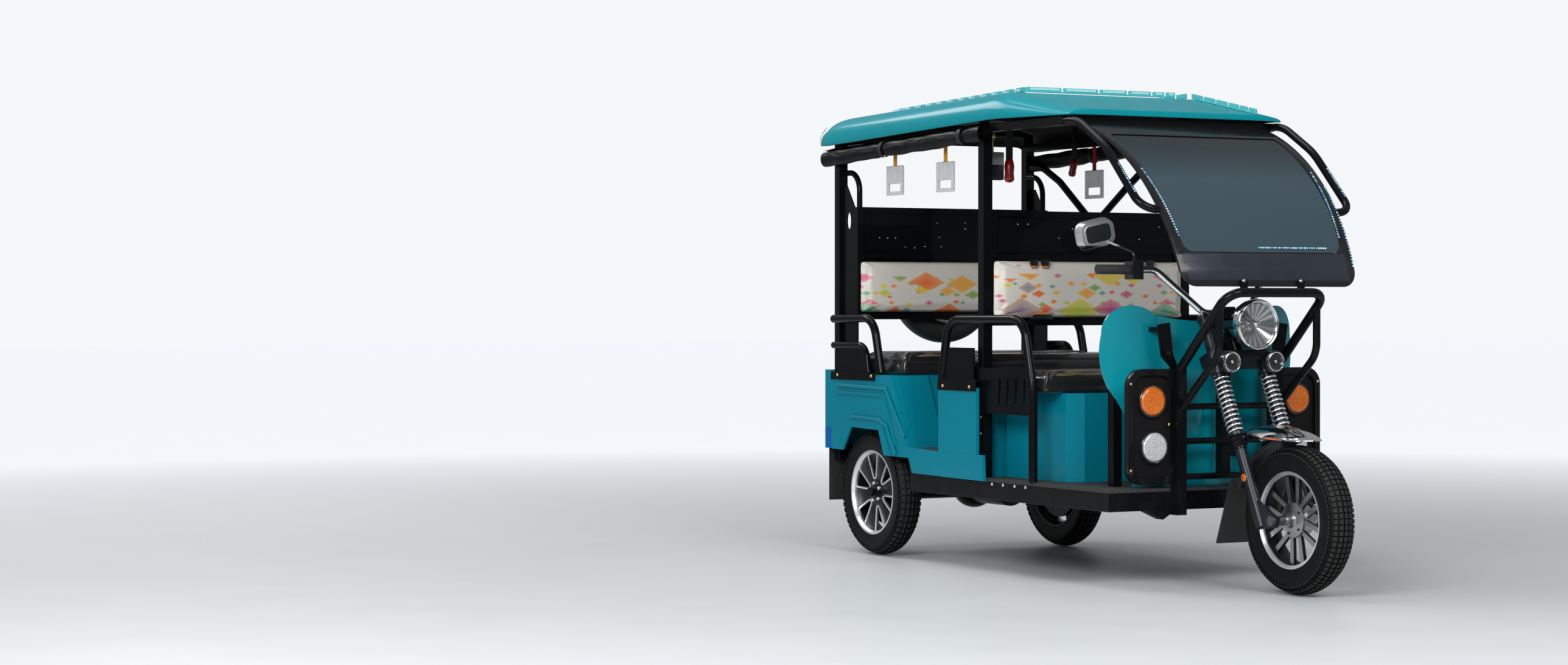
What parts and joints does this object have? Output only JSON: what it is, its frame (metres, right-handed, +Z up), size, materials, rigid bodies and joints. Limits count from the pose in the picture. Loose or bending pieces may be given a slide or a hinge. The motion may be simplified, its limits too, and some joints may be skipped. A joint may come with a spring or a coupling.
{
  "type": "electric rickshaw",
  "caption": "Three-wheeled open electric rickshaw with a steered front wheel, facing passenger benches, a curved windscreen and a domed roof.",
  "frame": {"origin": "on the ground under the middle of the vehicle's length and width", "axes": "+Z up, the front faces -Y, the vehicle's right-hand side is -X"},
  "size_m": [1.0206, 2.682, 1.757],
  "materials": {
    "black_paint": "satin",
    "teal_paint": "gloss",
    "black_plastic": "gloss",
    "matte_black": "matte",
    "black_leather": "gloss",
    "pale_fabric": "matte",
    "dark_fabric": "matte",
    "chrome": "polished",
    "steel": "brushed",
    "aluminium": "satin",
    "rubber": "matte",
    "tyre": "matte",
    "glass": "clear",
    "amber_lens": "gloss",
    "clear_lens": "clear",
    "red_lens": "gloss",
    "mirror": "polished"
  },
  "bodies": {
    "chassis": {"chassis_frame": "black_paint", "floor_deck": "matte_black", "passenger_floor": "matte_black", "body_sides": "teal_paint", "body_rear": "teal_paint", "rear_seat_base": "teal_paint", "mid_box": "teal_paint", "driver_box": "teal_paint", "driver_cushion": "black_leather", "mid_cushion": "black_leather", "rear_cushion": "black_leather", "mid_backrest": "black_paint", "mid_backrest_pad": "pale_fabric", "rear_backrest": "black_paint", "rear_backrest_pad": "pale_fabric", "canopy_frame": "black_paint", "seat_side_plates": "black_paint", "roof_shell": "teal_paint", "roof_edge_blocks": "teal_paint", "curtain_rolls": "dark_fabric", "grab_handles": "clear_lens", "guard_loops": "black_paint", "arm_loops": "black_paint", "side_guard_rail": "black_paint", "rear_axle": "steel", "leaf_springs": "steel", "rear_mud_flaps": "rubber", "tail_lamps": "red_lens", "front_guard": "black_paint", "front_shield": "teal_paint", "shield_columns": "black_paint", "lamp_panels": "black_plastic", "turn_lamps": "amber_lens", "marker_lamps": "clear_lens", "windscreen_frame": "black_plastic", "windscreen_glass": "glass", "windscreen_wings": "black_paint", "spare_wheel": "tyre"},
    "steering": {"fork": "black_paint", "fork_springs": "chrome", "headlamp": "chrome", "headlamp_lens": "clear_lens", "horns": "black_plastic", "handlebar": "chrome", "grips": "rubber", "bar_controls": "matte_black", "mirrors": "mirror", "front_fender": "chrome", "front_mud_flap": "rubber", "front_axle": "steel"},
    "front_wheel": {"front_tyre": "tyre", "front_rim": "aluminium"},
    "rear_wheel_right": {"rear_right_tyre": "tyre", "rear_right_rim": "aluminium"},
    "rear_wheel_left": {"rear_left_tyre": "tyre", "rear_left_rim": "aluminium"}
  },
  "joints": [
    {"name": "steering_turn", "type": "hinge", "parent": "chassis", "child": "steering", "pos_m": [0, -1.01, 0.252], "axis": [0, 0.4226, 0.9063], "range_deg": [-30, 30]},
    {"name": "front_wheel_spin", "type": "hinge", "parent": "steering", "child": "front_wheel", "pos_m": [0, -1.09, 0.251], "axis": [1, 0, 0], "continuous": true},
    {"name": "rear_right_wheel_spin", "type": "hinge", "parent": "chassis", "child": "rear_wheel_right", "pos_m": [-0.423, 0.953, 0.243], "axis": [1, 0, 0], "continuous": true},
    {"name": "rear_left_wheel_spin", "type": "hinge", "parent": "chassis", "child": "rear_wheel_left", "pos_m": [0.423, 0.953, 0.243], "axis": [1, 0, 0], "continuous": true}
  ]
}
